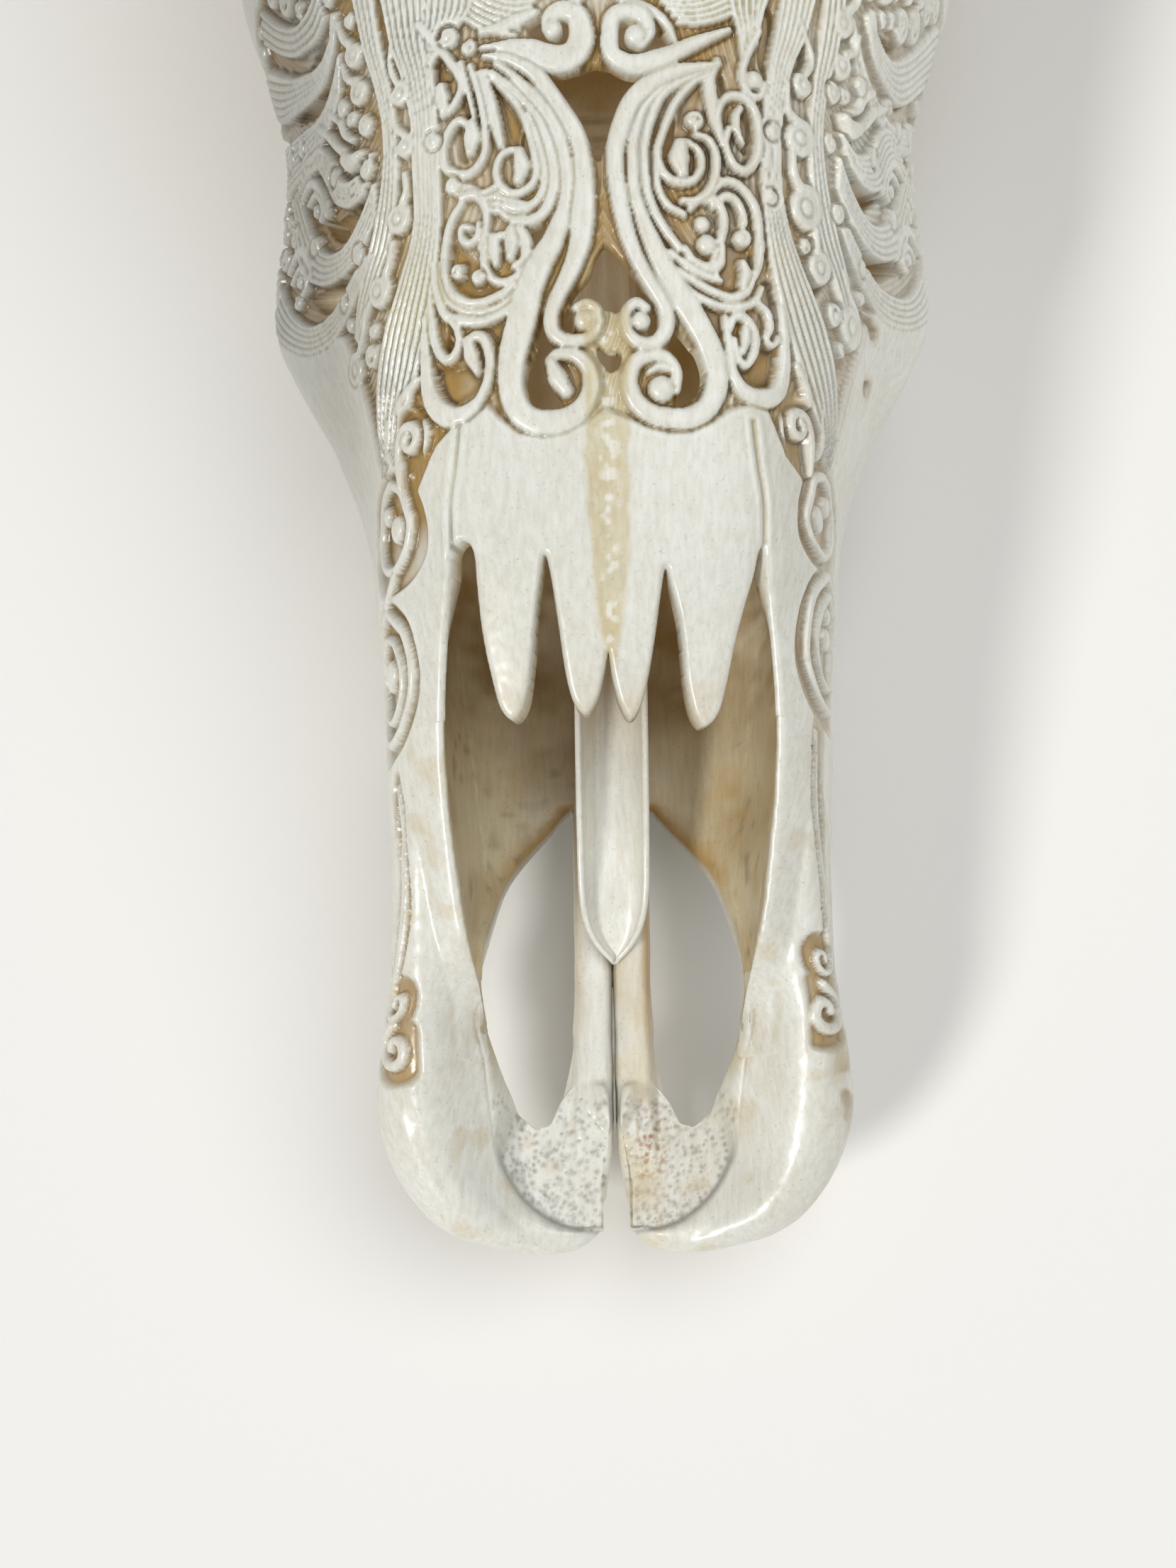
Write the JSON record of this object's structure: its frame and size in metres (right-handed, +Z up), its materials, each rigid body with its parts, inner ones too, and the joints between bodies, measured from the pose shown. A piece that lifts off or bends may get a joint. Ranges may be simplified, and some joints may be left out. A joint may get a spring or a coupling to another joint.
{
  "type": "carved buffalo skull",
  "caption": "Life-size water buffalo skull without its lower jaw, horned, its long face pierced with traditional scroll carving.",
  "frame": {"origin": "the middle of the model's box, on the plane that the skull rests on", "axes": "+Z up from the floor, +Y from the muzzle towards the back of the head, +X to the right as seen from in front with the muzzle near"},
  "size_m": [0.6654, 0.788, 0.1863],
  "materials": {
    "bone": "aged ivory-white bone under a soft varnish, golden brown in the recesses",
    "horn": "dark grey-brown ridged horn"
  },
  "bodies": {
    "root": {"premaxilla_left": "bone", "premaxilla_right": "bone", "maxilla_left": "bone", "maxilla_right": "bone", "nasal_left": "bone", "nasal_right": "bone", "vomer": "bone", "frontal": "bone", "zygomatic_left": "bone", "zygomatic_right": "bone", "braincase": "bone", "occipital": "bone", "sphenoid": "bone", "horn_left": "horn", "horn_right": "horn"}
  },
  "joints": []
}
